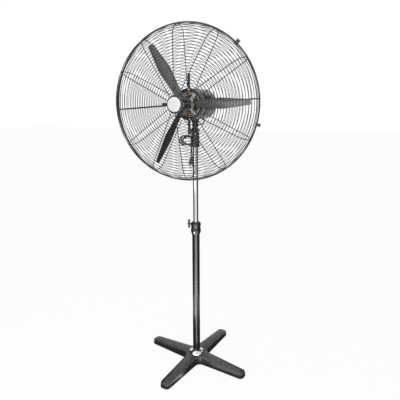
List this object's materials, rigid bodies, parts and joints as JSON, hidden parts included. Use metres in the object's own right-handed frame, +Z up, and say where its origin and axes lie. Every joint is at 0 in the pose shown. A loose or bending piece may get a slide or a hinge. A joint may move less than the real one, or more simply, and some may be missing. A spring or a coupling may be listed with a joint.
{
  "type": "pedestal fan",
  "caption": "Tall pedestal fan with a round wire guard, paddle blades, a finned-face motor, a sliding pole and a cross-shaped base.",
  "frame": {"origin": "on the floor under the pole's axis", "axes": "+Z up along the pole, -Y the way the fan blows, +X to the right of a person who faces the front of the fan"},
  "size_m": [0.7846, 0.6616, 1.956],
  "materials": {
    "black_casting": "gloss black enamel on castings",
    "black_alloy": "gloss black enamel on alloy castings",
    "black_tube": "gloss black enamel on steel tube",
    "rubber": "matte",
    "chrome": "bright plated",
    "steel": "zinc plated",
    "black_plastic": "moulded, semi gloss",
    "brass": "bare",
    "grey_casting": "as cast",
    "aluminium": "rolled sheet",
    "black_wire": "powder coat, semi gloss",
    "badge": "satin silver, bare"
  },
  "bodies": {
    "base": {"base_casting": "black_casting", "base_feet": "rubber", "base_flange": "chrome", "lower_tube": "black_tube", "pole_plug": "black_plastic", "pole_washer": "steel", "pole_bolt": "steel", "height_collar": "black_plastic", "collar_bush": "black_plastic", "collar_screw": "chrome"},
    "clamp": {"clamp_bolt": "steel", "clamp_handle": "black_plastic"},
    "mast": {"upper_tube": "chrome", "tube_guide": "black_plastic", "pole_socket": "black_alloy", "socket_screw": "steel", "tilt_bolt": "steel", "tilt_nut": "steel", "cord": "rubber", "cord_gland": "rubber", "cord_tie": "black_plastic", "plug_body": "black_plastic", "plug_pins": "brass"},
    "neck": {"neck_casting": "black_alloy"},
    "head": {"pivot_pin": "steel", "motor_housing": "black_alloy", "front_shield": "grey_casting", "rear_cover": "black_alloy", "stator_core": "steel", "windings": "brass", "front_bearing": "steel", "rear_bearing": "steel", "motor_lead": "rubber", "lead_grommets": "rubber", "guard_bracket": "black_wire", "bracket_bolts": "steel", "front_guard_ribs": "black_wire", "front_guard_rings": "black_wire", "front_guard_rim": "black_wire", "rear_guard_ribs": "black_wire", "rear_guard_rings": "black_wire", "rear_guard_rim": "black_wire", "centre_plate": "black_wire", "badge": "badge", "rim_clips": "black_wire", "clip_screws": "steel"},
    "rotor": {"motor_shaft": "steel", "rotor_core": "steel", "blade_hub": "grey_casting", "blade_1": "aluminium", "blade_2": "aluminium", "blade_3": "aluminium", "blade_rivets": "aluminium", "hub_nut": "steel"},
    "speed_control": {"speed_knob": "black_plastic"},
    "swing_control": {"oscillation_knob": "black_plastic"}
  },
  "joints": [
    {"name": "height_slide", "type": "slide", "parent": "base", "child": "mast", "axis": [0, 0, 1], "range_m": [-0.28, 0.25]},
    {"name": "clamp_turn", "type": "hinge", "parent": "base", "child": "clamp", "pos_m": [-0.05, 0, 0.891], "axis": [-1, 0, 0], "range_deg": [0, 270]},
    {"name": "tilt", "type": "hinge", "parent": "mast", "child": "neck", "pos_m": [0, 0, 1.425], "axis": [1, 0, 0], "range_deg": [-25, 8]},
    {"name": "oscillation", "type": "hinge", "parent": "neck", "child": "head", "pos_m": [0, 0, 1.46], "axis": [0, 0, 1], "range_deg": [-40, 40]},
    {"name": "blade_spin", "type": "hinge", "parent": "head", "child": "rotor", "pos_m": [0, -0.145, 1.566], "axis": [0, 1, 0], "continuous": true},
    {"name": "speed_turn", "type": "hinge", "parent": "head", "child": "speed_control", "pos_m": [0, 0.15, 1.536], "axis": [0, -1, 0], "range_deg": [0, 135]},
    {"name": "swing_push", "type": "slide", "parent": "head", "child": "swing_control", "axis": [0, -1, 0], "range_m": [0, 0.005]}
  ]
}
